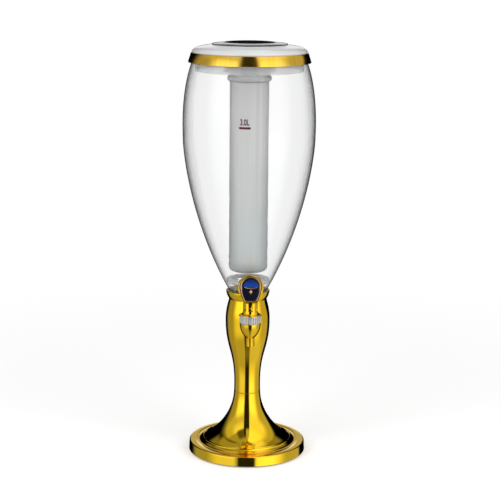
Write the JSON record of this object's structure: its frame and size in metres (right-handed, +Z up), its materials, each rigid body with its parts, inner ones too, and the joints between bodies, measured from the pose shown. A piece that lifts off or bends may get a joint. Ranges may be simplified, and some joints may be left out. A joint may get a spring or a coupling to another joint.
{
  "type": "beer tower dispenser",
  "caption": "Tall drink tower: clear tapered vessel with a lid and hanging ice tube, on a plated column and round weighted foot, with a lever tap in front.",
  "frame": {"origin": "centre of the round foot, on the surface it stands on", "axes": "+Z up along the tower's axis, the tap faces -Y, +X is to the right seen from the tap's side"},
  "size_m": [0.1824, 0.1824, 0.5809],
  "materials": {
    "plated_gold": "plastic moulding plated in polished gold",
    "clear_plastic": "clear polycarbonate",
    "frosted_plastic": "frosted translucent plastic",
    "lid_plastic": "translucent white plastic, polished",
    "dark_chrome": "plastic ring with dark chrome plating",
    "black_gloss": "piano black",
    "black_plastic": "fine satin texture",
    "white_plastic": "moulded, semi-gloss",
    "clear_nut": "clear plastic with vertical grip ribs",
    "badge": "domed blue and black resin",
    "silicone": "translucent food-grade silicone",
    "rubber": "matt black",
    "zinc_steel": "zinc plated",
    "stainless": "polished stainless steel",
    "cast_weight": "black paint over cast iron"
  },
  "bodies": {
    "tower": {"rubber_pads": "rubber", "base_cover": "black_plastic", "cover_screws": "zinc_steel", "base_weight": "cast_weight", "base_plinth": "plated_gold", "foot_trumpet": "plated_gold", "tie_rod": "zinc_steel", "tie_nuts": "zinc_steel", "tie_washers": "zinc_steel", "column_shell": "plated_gold", "collar": "plated_gold", "outlet_cup": "white_plastic", "vessel_gasket": "silicone", "vessel": "clear_plastic", "flow_ring": "frosted_plastic", "tap_body": "plated_gold", "shank_saddle": "silicone", "shank_seal": "silicone", "shank_nut": "white_plastic", "bonnet_nut": "clear_nut", "lever_post": "plated_gold", "post_ring": "silicone", "stem_ring": "silicone", "lever_pin": "stainless"},
    "lid": {"lid": "lid_plastic", "lid_seal": "silicone", "trim_ring": "plated_gold"},
    "ice_tube": {"ice_tube": "frosted_plastic", "ice_tube_seal": "silicone"},
    "ice_cap": {"cap_body": "black_plastic", "cap_seal": "silicone", "cap_bezel": "dark_chrome", "cap_disc": "black_gloss"},
    "tap_lever": {"lever": "plated_gold", "lever_badge": "badge"},
    "valve": {"valve_stem": "stainless", "valve_plug": "silicone", "valve_spring": "stainless"}
  },
  "joints": [
    {"name": "lid_lift", "type": "slide", "parent": "tower", "child": "lid", "axis": [0, 0, 1], "range_m": [0, 0.32]},
    {"name": "ice_tube_lift", "type": "slide", "parent": "lid", "child": "ice_tube", "axis": [0, 0, 1], "range_m": [0, 0.33]},
    {"name": "ice_cap_lift", "type": "slide", "parent": "ice_tube", "child": "ice_cap", "axis": [0, 0, 1], "range_m": [0, 0.06]},
    {"name": "tap_pull", "type": "hinge", "parent": "tower", "child": "tap_lever", "pos_m": [0, -0.064, 0.2205], "axis": [1, 0, 0], "range_deg": [0, 28], "stiffness_Nm_per_rad": 0.25, "springref_deg": -20.05},
    {"name": "valve_lift", "type": "slide", "parent": "tower", "child": "valve", "axis": [0, 0, 1], "range_m": [0, 0.003], "deforming": ["valve_spring"]}
  ],
  "couplings": [
    {"joint": "valve_lift", "follows": "tap_pull", "m_per_rad": 0.006}
  ]
}
